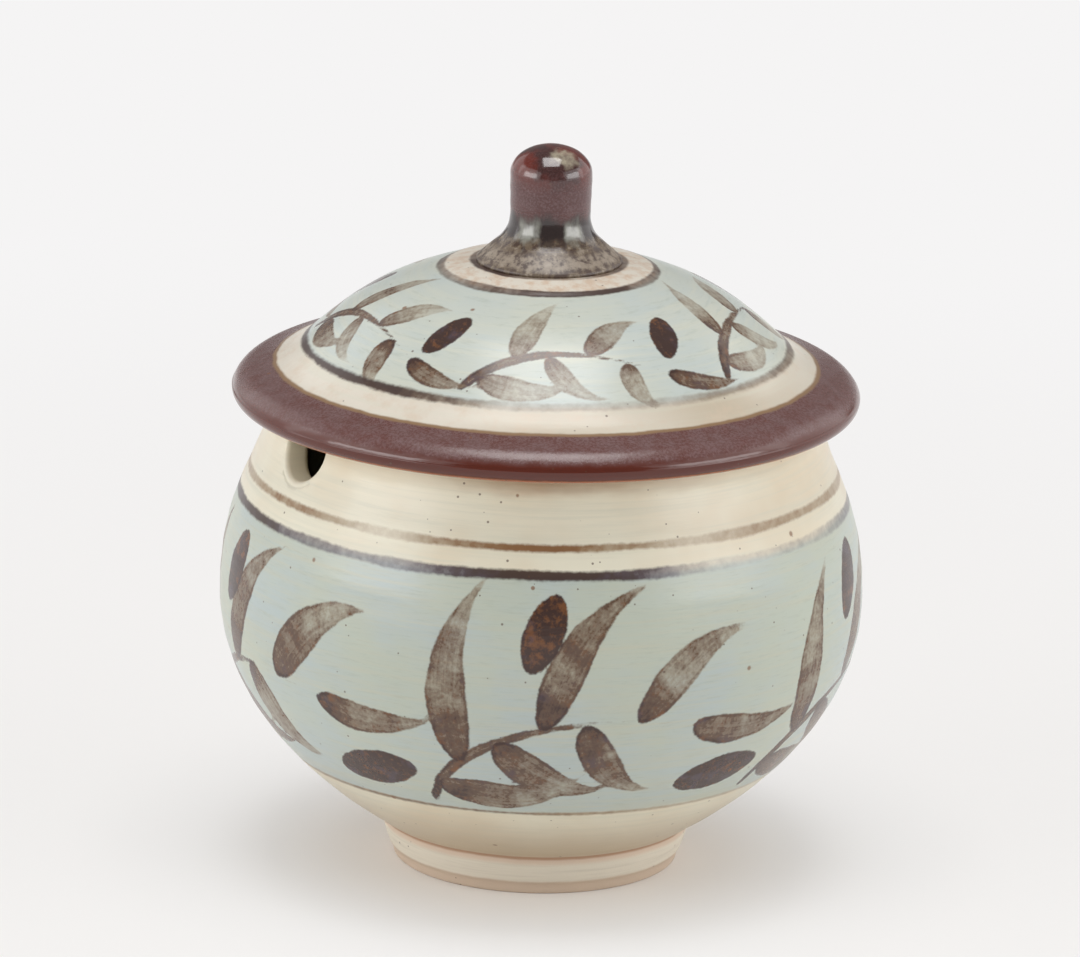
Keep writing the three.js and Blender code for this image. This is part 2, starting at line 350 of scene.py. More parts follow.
# Borders: the values between which one thing gives way to another, and the share that is covered
BORDERS = {
    # Where the painted shade of the underside fades out, going up the belly
    "low belly": (FOOT_HEIGHT, 22.0, 0.85),
    # Where the brown tint and painted shade under the brim begin on the neck
    "neck": (74.2, 77.6, 1),
    "crease pink": (5.2, 6.2, 0.7),
    "crease orange": (6.3, 6.8, 0.8),
    "foot": (FOOT_HEIGHT + 0.1, FOOT_HEIGHT + 0.35, 1),
    "brim edge": (81.5, 82.6, 1),
    "lip": (79.0, 79.6, 0.9),
    "brim border": (CREAM_BAND_RADIUS - 0.5, CREAM_BAND_RADIUS, 1),
    "brim": (CREAM_BAND_RADIUS + 0.2, CREAM_BAND_RADIUS + 0.7, 1),
    "knob neck": (110.4, 112.8, 1),
    # Pale runs on the knob's neck, partly painted reflections of the side lamps
    "knob runs": (0.35, 0.85, 0.8),
    "flare olive": (0.42, 0.54, 1),
    "flare pale": (0.54, 0.66, 0.7),
    "flare": (106.4, 108.4, 1),
    "knob root": (0.36, 0.56, 0.65),
    "knob cap": (1.3, 3.0, 1),
    "knob matt": (105.5, 107.5, 1),
    "speck": (0.6, 1.15, 1),
    "stroke": (-0.28, 0.14, 1),
    "stroke pool": (-0.9, -0.35, 1),
    "wash grains": (0.15, 0.6, 1),
    "thick wash": (0.45, 0.9, 1),
    "near paper": (12.0, 66.0, 1),
    "far paper": (90.0, 420.0, 1),
}

# Bands: where each begins and ends and how soft its borders are, in millimetres
BANDS = {
    "zone": (ZONE_BOTTOM, ZONE_TOP, 0.7),
    "clay": (-1.0, FOOT_BAND, 0.3),
    "dome": (CROWN_LINE_RADIUS, DOME_RING_RADIUS, 0.35),
    "knob sides": (111.2, 117.2, 2.4),
    "knob runs": (106.8, 110.8, 1.3),
    "knob root": (103.9, 105.6, 0.5),
}

# Specks: spacing, share of the places that have one, smallest and largest radius, seed
FINE_SPECKS = (2.2, 0.5, 0.1, 0.25, 21.0)
LARGE_SPECKS = (6.0, 0.32, 0.25, 0.6, 22.0)
SPECK_COVER = 0.75

# The sprays of leaves, in millimetres and degrees on the unrolled surface. On the pot, up is
# counted from the widest point, and on the lid from the ring at the dome's edge.
POT_SPRAY = {
    "count": 5,
    "seed": 7,
    "base": (1, -27),
    "heading": 72,
    "bend": -66,
    "length": 52,
    "leaf": 33,
    "leaf_width": 7.0,
    "leaves": 6,
    "spread": (38, 50),
    "tones": (0.42, 0.66),
    "buds": [(58, -21, 14, 17, 8.2), (22.5, 8, 68, 13, 6.8)],
}
LID_SPRAY = {
    "count": 5,
    "seed": 11,
    "base": (1, 2.5),
    "heading": 66,
    "bend": -74,
    "length": 33,
    "leaf": 18,
    "leaf_width": 4.4,
    "leaves": 5,
    "spread": (34, 48),
    "tones": (0.22, 0.42),
    "buds": [(37, 13, 70, 9.5, 5.0)],
}
LID_ROUND_RADIUS = 34.0

# How every spray is drawn: shares of the bend and the length for the stem's corners, brush width
# and tones, where the leaves stand on the stem, and the size of the leaves on each side
HEADING_CHANCE = 3
BUD_CHANCE = 6
STEM_CORNERS = ((0, 0.35), (0.5, 0.7), (0.8, 1.0))
STEM_WIDTH = 2.2
STEM_TONES = (0.85, 0.6, 0.5)
STEM_HEAD = 0.45
LEAF_PLACES = (0.12, 0.72)
LEAF_SHRINK = 0.3
LOWER_LEAF = 0.84
UPPER_LEAF = 1.08
LEAF_SIZE_CHANCE = (0.95, 1.05)
LEAF_WIDTH_CHANCE = (0.9, 1.08)
LEAF_FIRST_LEAN = 1.5
LEAF_LAST_LEAN = 0.1
LEAF_PULLS = (0.36, 0.42)
LEAF_TONES = (0.34, 0, -0.3)
TIP_LEAF = ((-10, 0.2), (2, 0.5), (14, 0.72))
TIP_LEAF_WIDTH = 0.85
TIP_LEAF_TONES = (0.9, 0.6, 0.3)
BUD_TONES = (1.25, 1.15, 1.2)
STROKE_HEAD = 0.6
STROKE_ENDS = (0.012, 0.99)
STROKE_TONE_PLACES = (0, 0.3, 1)
HEAD_SWELL = 0.7
TAIL_SWELL = 1.15
OVAL_SWELL = 0.55
STROKE_REACH = 8 * MM
STROKE_RUN_GAP = 60
NO_STROKE = 9.0

# The notch's cutter: how far it stands out past the wall and above the rim, in millimetres
CUTTER_PAST = 4.0
CUTTER_GROWTH = 2.0
CUTTER_GAP = 0.05

# The studio: camera, lamps and paper. The target's offsets are in pixels, its height in metres.
IMAGE_WIDTH = 1080
LENS_PIXELS = 9082.1
SENSOR = 36.0
CAMERA_DISTANCE = 1.5197
CAMERA_PITCH = 15.82
CAMERA_TURN = -30.9
CAMERA_ROLL = 1.42
CAMERA_SIGHT = 20
TARGET_HEIGHT = 0.06281
TARGET_RIGHT = 3.5
TARGET_DOWN = 13.9
LAMP_TARGET_HEIGHT = 0.06

# Lamps: turn from the camera's side, pitch, distance, width and height in metres, and watts
LAMPS = (
    ("left_softbox", -70, 20, 0.9, 1.3, 0.6, 2.4),
    ("left_softbox_core", -64, 17, 0.89, 0.6, 0.3, 2.0),
    ("right_softbox", 70, 20, 0.9, 0.96, 0.6, 1.8),
    ("right_softbox_core", 66, 17, 0.89, 0.6, 0.3, 1.7),
    ("left_fill", -125, 20, 0.9, 0.8, 0.6, 1.0),
    ("right_fill", 115, 20, 0.9, 0.8, 0.6, 1.5),
    ("top_softbox", 0, 86, 0.9, 0.5, 0.5, 4.2),
)
AIR_STRENGTH = 0.24
FLOOR_COLOUR = colour(240, 237, 233)
WHITE_PAPER = colour(245, 244, 244)
PAPER_ROUGHNESS = 0.9
PAPER_SHINE = 0.2
PAPER_LIFT = 0.6
PAPER_HALF_WIDTH = 8.0


# Outlines, as lists of (radius, height) in millimetres
def curve(start, start_pull, end_pull, end, steps):
    """Points of a curve that leaves start towards start_pull and reaches end from end_pull."""
    t = np.linspace(0, 1, steps + 1)[:, None]
    corners = np.array([start, start_pull, end_pull, end], float)
    weights = np.hstack([(1 - t) ** 3, 3 * (1 - t) ** 2 * t, 3 * (1 - t) * t**2, t**3])
    return (weights @ corners).tolist()


def arc(centre, radius, first, last, steps):
    """Points of an arc from the first to the last angle, in degrees up from the outward direction."""
    angles = np.radians(np.linspace(first, last, steps + 1))
    return [[centre[0] + radius * math.cos(a), centre[1] + radius * math.sin(a)] for a in angles]


def along(start, degrees, length):
    """The point so far from start in a direction."""
    angle = math.radians(degrees)
    return [start[0] + length * math.cos(angle), start[1] + length * math.sin(angle)]


def offset(points, distance):
    """The outline moved inwards, square to itself."""
    ways = np.gradient(np.array(points), axis=0)
    ways /= np.linalg.norm(ways, axis=1)[:, None]
    moved = np.array(points) + distance * np.stack([-ways[:, 1], ways[:, 0]], axis=1)
    return moved.tolist()


def pot_outside():
    """The wall from the crease above the foot to the rim."""
    crease = [FOOT_RADIUS, FOOT_HEIGHT]
    rim = [RIM_RADIUS, RIM_HEIGHT]
    belly = [BELLY_RADIUS, BELLY_HEIGHT]
    low_pull = [BELLY_RADIUS, BELLY_HEIGHT - BELLY_PULL_DOWN]
    high_pull = [BELLY_RADIUS, BELLY_HEIGHT + BELLY_PULL_UP]
    leave = along(crease, UNDERSIDE_SLOPE, UNDERSIDE_PULL)
    arrive = along(rim, RIM_LEAN - 90, SHOULDER_PULL)
    underside = curve(crease, leave, low_pull, belly, steps=54)
    return underside + curve(belly, high_pull, arrive, rim, steps=38)[1:]


def pot_outline():
    """Foot ring, outside, rim, inside and floor."""
    outside = pot_outside()
    recess = FOOT_EDGE_RADIUS - FOOT_WIDTH
    corner = [recess - RECESS_ROUNDING, FOOT_RECESS - RECESS_ROUNDING]
    points = [[0, FOOT_RECESS], [recess / 2, FOOT_RECESS]]
    points += arc(corner, RECESS_ROUNDING, 90, 0, steps=6)
    corner = [recess + FOOT_INNER_ROUNDING, FOOT_INNER_ROUNDING]
    points += arc(corner, FOOT_INNER_ROUNDING, 180, 270, steps=4)
    corner = [FOOT_EDGE_RADIUS - FOOT_OUTER_ROUNDING, FOOT_OUTER_ROUNDING]
    points += arc(corner, FOOT_OUTER_ROUNDING, 270, 340, steps=5)
    points += curve(*FOOT_LOW_CURVE, steps=4)
    points += curve(*FOOT_HIGH_CURVE, steps=8)[1:]
    rounding_low = RIM_HEIGHT - RIM_ROUNDING
    points += [here for here in outside if here[1] < rounding_low]
    mouth = RIM_RADIUS - WALL
    points += arc([RIM_RADIUS - RIM_ROUNDING, rounding_low], RIM_ROUNDING, 0, 90, steps=6)
    points += arc([mouth + RIM_ROUNDING, rounding_low], RIM_ROUNDING, 90, 180, steps=6)
    inner = [here for here in offset(outside, WALL) if here[1] < rounding_low][::-2]
    floor_pull = along(inner[-1], UNDERSIDE_SLOPE + 180, FLOOR_PULL)
    floor = curve(inner[-1], floor_pull, [recess / 2, FLOOR_HEIGHT], [0, FLOOR_HEIGHT], steps=14)
    return points + inner + floor[1:]


def dome_outside():
    """The dome from the ring at its edge up to the crown's ring."""
    edge = [DOME_EDGE_RADIUS, DOME_EDGE_HEIGHT]
    ring = [CROWN_RING_RADIUS, CROWN_RING_HEIGHT]
    leave = along(edge, 180 - DOME_SLOPE, DOME_PULL)
    return curve(edge, leave, along(ring, -CROWN_RING_SLOPE, DOME_PULL), ring, steps=40)


def lid_outline():
    """Hollow, flange, seat, brim, dome and the flat under the knob."""
    seat = RIM_HEIGHT
    flange_inside = FLANGE_RADIUS - FLANGE_WIDTH
    rounding = FLANGE_WIDTH / 3
    low = seat - FLANGE_DEPTH + rounding
    hollow_top = CROWN_HEIGHT - LID_WALL
    hollow_pull = [flange_inside, (DOME_EDGE_HEIGHT + hollow_top - LID_WALL) / 2]
    points = curve(
        [0, hollow_top], [CROWN_RING_RADIUS, hollow_top], hollow_pull, [flange_inside, seat], steps=40
    )
    points += arc([flange_inside + rounding, low], rounding, 180, 270, steps=6)
    points += arc([FLANGE_RADIUS - rounding, low], rounding, 270, 360, steps=6)
    points += [[FLANGE_RADIUS, seat - FLANGE_FILLET], [FLANGE_RADIUS + FLANGE_FILLET, seat]]
    points += [[RIM_RADIUS - SEAT_END, seat]]
    droop = seat - BRIM_DROOP
    edge = BRIM_RADIUS - BRIM_EDGE
    pulls = [RIM_RADIUS + DROOP_PULL, seat - DROOP_START], [edge - DROOP_PULL, droop]
    points += curve([RIM_RADIUS, seat], *pulls, [edge, droop], steps=8)
    points += arc([edge, droop + BRIM_EDGE], BRIM_EDGE, -90, 0, steps=14)[1:]
    first = 0
    for last, radius in BRIM_BENDS:
        points += arc(along(points[-1], first + 180, radius), radius, first, last, steps=9)[1:]
        first = last
    brim_top = points[-1]
    dome_edge = [DOME_EDGE_RADIUS, DOME_EDGE_HEIGHT]
    pulls = along(brim_top, first + 90, BRIM_PULL), along(dome_edge, -DOME_SLOPE, BRIM_PULL)
    points += curve(brim_top, *pulls, dome_edge, steps=18)[1:]
    return points + dome_outside()[1:] + curve(*CROWN_CURVE, steps=8) + [[0, CROWN_HEIGHT]]


def knob_outline():
    """Flared root, waist and rounded head."""
    root = [KNOB_SEAT_RADIUS, CROWN_HEIGHT + KNOB_ROOT_THICKNESS]
    waist = [KNOB_WAIST_RADIUS, KNOB_WAIST_HEIGHT]
    head = [KNOB_HEAD_RADIUS, KNOB_HEAD_HEIGHT]
    points = [[0, CROWN_HEIGHT], [KNOB_SEAT_RADIUS, CROWN_HEIGHT]]
    pulls = along(root, KNOB_ROOT_SLOPE, KNOB_FLARE_PULL), along(waist, -90, KNOB_FLARE_PULL)
    points += curve(root, *pulls, waist, steps=34)
    pulls = along(waist, 90, KNOB_NECK_PULL), along(head, -90, KNOB_NECK_PULL)
    points += curve(waist, *pulls, head, steps=12)[1:]
    cap = KNOB_TOP - KNOB_HEAD_HEIGHT
    for angle in np.radians(np.linspace(0, 90, num=26))[1:]:
        points.append([KNOB_HEAD_RADIUS * math.cos(angle), KNOB_HEAD_HEIGHT + cap * math.sin(angle)])
    points[-1][0] = 0
    return points


class Nodes:
    """Adds nodes to one tree and joins them. Inputs take a socket or a value."""

    def __init__(self, tree):
        self.tree = tree

    def node(self, kind, label="", **settings):
        """A node with its settings and a label."""
        node = self.tree.nodes.new(kind)
        node.label = label
        for name, value in settings.items():
            setattr(node, name, value)
        return node

    def plug(self, socket, value):
        if isinstance(value, bpy.types.NodeSocket):
            self.tree.links.new(value, socket)
        else:
            socket.default_value = value

    def set(self, node, **values):
        """Fills inputs, whose names are given with _ for a space."""
        for name, value in values.items():
            self.plug(node.inputs[name.replace("_", " ")], value)

    def math(self, operation, first, second=0.0, label="", clamp=False):
        node = self.node("ShaderNodeMath", label, operation=operation, use_clamp=clamp)
        self.plug(node.inputs[0], first)
        self.plug(node.inputs[1], second)
        return node.outputs[0]

    def plus(self, first, second, label=""):
        return self.math("ADD", first, second, label)

    def minus(self, first, second):
        return self.math("SUBTRACT", first, second)

    def times(self, first, second, label=""):
        return self.math("MULTIPLY", first, second, label)

    def combine(self, *parts):
        """The vector with these three parts."""
        node = self.node("ShaderNodeCombineXYZ")
        for socket, value in zip(node.inputs, parts):
            self.plug(socket, value)
        return node.outputs[0]


# Geometry nodes: a thrown form, which turns an outline round the wheel's axis
def thrown_form_tree():
    """The tree that all three pieces share: every row of a grid takes the radius and height of one
    point of the outline, and every column one angle."""
    tree = bpy.data.node_groups.new("thrown_form", "GeometryNodeTree")
    sockets = (("Outline", "Geometry"), ("Columns", "Int"), ("Unevenness", "Float"),
               ("Ring depth", "Float"), ("Ring spacing", "Float"), ("Seed", "Float"), ("Glaze", "Material"))
    for name, kind in sockets:
        tree.interface.new_socket(name, in_out="INPUT", socket_type="NodeSocket" + kind)
    tree.interface.new_socket("Form", in_out="OUTPUT", socket_type="NodeSocketGeometry")
    form = Nodes(tree)
    given = form.node("NodeGroupInput").outputs

    rows = form.node("GeometryNodeAttributeDomainSize", "rows", component="CURVE")
    form.set(rows, Geometry=given["Outline"])
    row_count = rows.outputs["Point Count"]
    grid = form.node("GeometryNodeMeshGrid", "clay")
    form.set(grid, Vertices_X=form.plus(given["Columns"], 1.0), Vertices_Y=row_count)
    index = form.node("GeometryNodeInputIndex").outputs[0]
    row = form.math("FLOORED_MODULO", index, row_count, "row")
    column = form.math("FLOOR", form.math("DIVIDE", index, row_count), label="column")
    angle = form.times(form.math("DIVIDE", column, given["Columns"]), 2 * math.pi, "angle")
    cosine = form.math("COSINE", angle)
    sine = form.math("SINE", angle)

    sampled = []
    for kind, data_type in (("Position", "FLOAT_VECTOR"), ("Radius", "FLOAT")):
        sample = form.node("GeometryNodeSampleIndex", data_type=data_type, domain="POINT")
        value = form.node("GeometryNodeInput" + kind).outputs[0]
        form.set(sample, Geometry=given["Outline"], Value=value, Index=row)
        sampled.append(sample.outputs[0])
    place = form.node("ShaderNodeSeparateXYZ", "place on the outline")
    form.set(place, Vector=sampled[0])
    height = place.outputs["Z"]

    noise = form.node("ShaderNodeTexNoise", "unevenness of a thrown wall", noise_dimensions="4D")
    spot = form.combine(cosine, sine, form.times(height, UNEVEN_PER_METRE))
    form.set(noise, Vector=spot, W=given["Seed"], Scale=1.0, Detail=2.0)
    uneven = form.times(form.minus(noise.outputs[0], UNEVEN_LEVEL), given["Unevenness"])
    wave = form.times(form.math("DIVIDE", height, given["Ring spacing"]), 2 * math.pi)
    wave = form.plus(wave, angle, "rings climb as a screw")
    wave = form.math("SINE", form.plus(wave, form.times(noise.outputs[0], RING_WOBBLE)))
    rings = form.times(form.minus(wave, 1.0), given["Ring depth"])
    change = form.times(form.plus(uneven, rings), sampled[1], "where the hand shows")
    radius = form.math("MAXIMUM", form.plus(place.outputs["X"], change), 0.0)
    moved = form.combine(form.times(radius, cosine), form.times(radius, sine), height)

    clay = grid.outputs["Mesh"]
    for kind, inputs in (
        ("SetPosition", {"Position": moved}),
        ("MergeByDistance", {"Distance": SEAM_GAP}),
        ("SetShadeSmooth", {}),
        ("RealizeInstances", {}),
        ("SetMaterial", {"Material": given["Glaze"]}),
    ):
        node = form.node("GeometryNode" + kind)
        form.set(node, Geometry=clay, **inputs)
        clay = node.outputs[0]
    form.plug(form.node("NodeGroupOutput").inputs[0], clay)
    return tree


THROWN_FORM = thrown_form_tree()


def one_material(mesh, material):
    """Leaves the mesh with one material slot, and every face smooth and in it."""
    mesh.materials.clear()
    mesh.materials.append(material)
    for face in mesh.polygons:
        face.use_smooth = True
        face.material_index = 0


def add_object(name, data):
    """A new object in the scene."""
    thing = bpy.data.objects.new(name, data)
    bpy.context.collection.objects.link(thing)
    return thing


def final_mesh(thing):
    """The mesh that the object's modifiers make."""
    evaluated = thing.evaluated_get(bpy.context.evaluated_depsgraph_get())
    return bpy.data.meshes.new_from_object(evaluated)


def thrown(name, outline, uneven, material, columns, hand):
    """A mesh object turned from an outline, with the potter's hand in it between two heights."""
    flat = bpy.data.curves.new(name + "_outline", "CURVE")
    flat.dimensions = "3D"
    spline = flat.splines.new("POLY")
    spline.points.add(len(outline) - 1)
    for dot, (radius, height) in zip(spline.points, outline):
        dot.co = (radius * MM, 0, height * MM, 1)
        dot.radius = 1.0 if uneven[0] <= height <= uneven[1] else 0.0
    source = add_object(name + "_outline", flat)
    modifier = source.modifiers.new("thrown", "NODES")
    modifier.node_group = THROWN_FORM
    values = {"Columns": columns, "Glaze": material, **hand}
    for item in THROWN_FORM.interface.items_tree:
        if item.in_out == "INPUT" and item.name in values:
            modifier[item.identifier] = values[item.name]
    mesh = final_mesh(source)
    source.modifiers.remove(modifier)
    bpy.data.objects.remove(source)
    mesh.name = name
    one_material(mesh, material)
    return add_object(name, mesh)


# Materials: small helpers for shader trees
class Paint(Nodes):
    """The nodes of one material. Lengths are in millimetres."""

    def __init__(self, name):
        self.material = bpy.data.materials.new(name)
        self.material.use_nodes = True
        super().__init__(self.material.node_tree)
        self.shader = self.tree.nodes["Principled BSDF"]
        split = self.node("ShaderNodeSeparateXYZ")
        self.set(split, Vector=self.node("ShaderNodeTexCoord").outputs["Object"])
        self.x = self.math("DIVIDE", split.outputs["X"], MM)
        self.y = self.math("DIVIDE", split.outputs["Y"], MM)
        self.height = self.math("DIVIDE", split.outputs["Z"], MM)
        across = self.math("POWER", self.x, 2.0)
        deep = self.math("POWER", self.y, 2.0)
        self.radius = self.math("SQRT", self.plus(across, deep))
        angle = self.times(self.math("ARCTAN2", self.y, self.x), 180 / math.pi)
        angle = self.math("FLOORED_MODULO", self.plus(angle, 180 - PAINTED_FRONT), 360.0)
        self.turn = self.math("DIVIDE", angle, 360.0)

    def step(self, value, low, high):
        """0 below low, 1 above high, and smooth between."""
        node = self.node("ShaderNodeMapRange", interpolation_type="SMOOTHSTEP")
        self.set(node, Value=value, From_Min=low, From_Max=high)
        return node.outputs["Result"]

    def spread(self, value, low, high, ends):
        """The value moved from its range to the range between two ends, without going past it."""
        node = self.node("ShaderNodeMapRange")
        self.set(node, Value=value, From_Min=low, From_Max=high, To_Min=ends[0], To_Max=ends[1])
        return node.outputs["Result"]

    def above(self, value, name):
        """0 below the border of that name and its share above it."""
        low, high, share = BORDERS[name]
        return self.times(self.step(value, low, high), share)

    def below(self, value, name):
        """The border's share below it and 0 above it."""
        low, high, share = BORDERS[name]
        return self.times(self.minus(1.0, self.step(value, low, high)), share)

    def within(self, value, name):
        """1 in the band of that name, with soft borders."""
        low, high, soft = BANDS[name]
        rise = self.step(value, low - soft, low + soft)
        fall = self.step(value, high - soft, high + soft)
        return self.math("SUBTRACT", rise, fall, clamp=True)

    def stretch(self, around, up):
        """Object coordinates, scaled round the axis and along it."""
        level = self.times(self.x, around), self.times(self.y, around)
        return self.combine(*level, self.times(self.height, up))

    def noise(self, vector, detail, roughness, seed):
        node = self.node("ShaderNodeTexNoise", noise_dimensions="4D")
        self.set(node, Vector=vector, W=seed, Scale=1.0, Detail=detail, Roughness=roughness)
        return node.outputs[0]

    def grain(self, around, up, detail, roughness, seed):
        """Noise in the clay's own space."""
        return self.noise(self.stretch(around, up), detail, roughness, seed)

    def pattern(self, name):
        """The patches or streaks of that name, from 0 to their share."""
        *grain, low, high, share = PATTERNS[name]
        return self.times(self.step(self.grain(*grain), low, high), share)

    def sway(self, around, up, size, seed, detail):
        """Noise about zero, in units of size."""
        return self.times(self.minus(self.grain(around, up, detail, SWAY_ROUGHNESS, seed), 0.5), size)

    def swayed(self, value, name):
        """The value moved to and fro by the noise of that name."""
        return self.plus(value, self.sway(*SWAYS[name]))

    def mix(self, amount, first, second):
        """A colour between two."""
        node = self.node("ShaderNodeMix", data_type="RGBA")
        for number, value in ((0, amount), (6, first), (7, second)):
            self.plug(node.inputs[number], value)
        return node.outputs[2]

    def mix_value(self, amount, first, second):
        """A value between two."""
        node = self.node("ShaderNodeMix", data_type="FLOAT")
        for number, value in ((0, amount), (2, first), (3, second)):
            self.plug(node.inputs[number], value)
        return node.outputs[0]

    def ramp(self, value, stops):
        """A colour that runs through the stops, which are values and colours."""
        shade = stops[0][1]
        for (low, _), (high, tint) in zip(stops, stops[1:]):
            shade = self.mix(self.step(value, low, high), shade, tint)
        return shade

    def around(self, stops):
        """A value that changes round the pot. stops are degrees from the painted front and values."""
        node = self.node("ShaderNodeValToRGB")
        node.color_ramp.interpolation = "EASE"
        dots = node.color_ramp.elements
        while len(dots) > 1:
            dots.remove(dots[-1])
        back = (stops[0][1] + stops[-1][1]) / 2
        for number, (degrees, value) in enumerate([(-180, back), *stops, (180, back)]):
            dot = dots[0] if number == 0 else dots.new((degrees + 180) / 360)
            dot.position = (degrees + 180) / 360
            dot.color = (value, value, value, 1)
        self.set(node, Fac=self.turn)
        return node.outputs[0]

    def bump(self, height, distance, strength):
        node = self.node("ShaderNodeBump")
        self.set(node, Height=height, Distance=distance, Strength=strength)
        return node

    def attribute(self, name):
        return self.node("ShaderNodeAttribute", attribute_name=name).outputs

    def outside(self):
        """1 on the outer side of the wall."""
        return self.attribute("outside")["Fac"]


def specks(paint, spacing, share, smallest, largest, seed):
    """Sparse round specks of iron, 1 in a speck."""
    cells = paint.node("ShaderNodeTexVoronoi", voronoi_dimensions="3D")
    shift = paint.node("ShaderNodeVectorMath", operation="ADD")
    paint.plug(shift.inputs[0], paint.stretch(1.0, 1.0))
    shift.inputs[1].default_value = (seed * 7.0, seed * 13.0, seed * 3.0)
    paint.set(cells, Vector=shift.outputs[0], Scale=1 / spacing)
    chosen = paint.node("ShaderNodeSeparateColor")
    paint.set(chosen, Color=cells.outputs["Color"])
    size = paint.spread(chosen.outputs[1], 0.0, 1.0, (smallest / spacing, largest / spacing))
    spot = paint.below(paint.math("DIVIDE", cells.outputs["Distance"], size), "speck")
    return paint.times(spot, paint.math("LESS_THAN", chosen.outputs[0], share))


def painted_ring(paint, under, where, name):
    """Lays the ring of that name over the glaze, at a height or radius, with a brush's wavering
    edges and pressure."""
    centre, width, tints, press, seed = RINGS[name]
    waver = paint.grain(0.07, 0.02, 2.0, 0.5, seed)
    half = paint.spread(waver, 0.3, 0.7, [width * share for share in RING_WIDTHS])
    away = paint.plus(paint.minus(where, centre), paint.sway(0.02, 0.0, width * RING_DRIFT, seed + 2, 1.0))
    away = paint.plus(paint.math("ABSOLUTE", away), paint.sway(0.9, 0.9, 0.55, seed + 1, 3.0))
    mark = paint.step(paint.minus(away, half), -RING_SOFTNESS, RING_SOFTNESS)
    load = paint.plus(paint.around(press), paint.sway(0.6, 0.6, 0.6, seed + 3, 3.0))
    load = paint.math("ADD", load, paint.sway(0.09, 0.0, 0.35, seed + 4, 2.0), clamp=True)
    tint = paint.ramp(load, list(zip((0.0, 0.55, 1.0), tints)))
    cover = paint.times(paint.minus(1.0, mark), paint.spread(load, 0.0, 0.8, RING_COVER))
    return paint.mix(cover, under, tint)


def stroke_streaks(paint, run, side, kind):
    """Streaks that lie along a stroke, about zero."""
    along_scale, side_scale, detail, roughness, seed, strength = kind
    place = paint.combine(paint.times(run, along_scale), paint.times(side, side_scale), 0.0)
    return paint.times(paint.minus(paint.noise(place, detail, roughness, seed), 0.5), strength)


def strokes(paint, name, under, roughness):
    """Paints the brush strokes whose edge, run and tone the mesh holds in two attributes: washes
    that thin out along the stroke, with streaks of the hairs, fine grain and a darker outline."""
    where = paint.node("ShaderNodeSeparateXYZ")
    paint.set(where, Vector=paint.attribute(name + "_place")["Vector"])
    edge, run, side = where.outputs
    tone = paint.attribute(name + "_tone")["Fac"]
    edge = paint.swayed(paint.swayed(edge, "stroke edge"), "stroke fringe")
    inside = paint.below(edge, "stroke")
    pool = paint.times(paint.above(edge, "stroke pool"), paint.spread(tone, 0.3, 0.9, POOL_COVER))
    depth = paint.plus(tone, stroke_streaks(paint, run, side, HAIRS))
    depth = paint.plus(depth, stroke_streaks(paint, run, side, DRAG))
    depth = paint.swayed(paint.swayed(depth, "wash grain"), "wash drift")
    depth = paint.plus(depth, paint.times(pool, POOL_DEPTH))
    thick = paint.above(depth, "thick wash")
    grains = paint.times(paint.pattern("wash grains"), paint.above(depth, "wash grains"))
    ink = paint.mix(grains, paint.ramp(depth, WASHES), RUST)
    ink = paint.mix(paint.times(paint.pattern("wash rust"), thick), ink, RUST)
    ink = paint.mix(paint.times(paint.pattern("wash violet"), thick), ink, VIOLET)
    cover = paint.times(paint.spread(depth, 0.0, 0.6, WASH_COVER), inside)
    shine = paint.mix_value(paint.times(inside, thick), roughness, THICK_WASH_ROUGHNESS)
    return paint.mix(cover, under, ink), shine


def cream_glaze(paint):
    """Warm cream, with paler patches and greyer streaks."""
    cream = paint.mix(paint.pattern("cream patches"), CREAM, CREAM_WARM)
    return paint.mix(paint.pattern("cream streaks"), cream, CREAM_GREY)


def celadon_glaze(paint, blue, green, cream):
    """Grey-green glaze that drifts to blue, with cream showing through the streaks."""
    shade = paint.mix(paint.pattern("celadon patches"), blue, green)
    shade = paint.mix(paint.pattern("celadon streaks"), shade, cream)
    return paint.mix(paint.pattern("celadon lines"), shade, CELADON_DEEP)


def finish_glaze(paint, shade, roughness, grit):
    """Specks, colour, roughness and the soft relief of a fired glaze."""
    for kind, tint in ((FINE_SPECKS, WASH_THICK), (LARGE_SPECKS, RUST)):
        shade = paint.mix(paint.times(specks(paint, *kind), SPECK_COVER), shade, tint)
    soft = paint.bump(paint.grain(*GRAINS["ripple"]), RIPPLE_DEPTH, RIPPLE_STRENGTH)
    relief = paint.bump(grit, GRIT_DEPTH, GRIT_STRENGTH)
    paint.set(relief, Normal=soft.outputs[0])
    paint.set(paint.shader, Base_Color=shade, Roughness=roughness, Normal=relief.outputs[0])


def foot_glaze(paint, crease):
    """Slip with fine level lines, a bare band at the table and an orange crease."""
    foot = paint.mix(paint.pattern("foot lines"), SLIP, SLIP_GREY)
    clay = paint.within(paint.swayed(paint.height, "clay"), "clay")
    foot = paint.mix(clay, foot, BARE_CLAY)
    foot = paint.mix(paint.above(crease, "crease pink"), foot, CREASE_PINK)
    return paint.mix(paint.above(crease, "crease orange"), foot, CREASE_ORANGE)


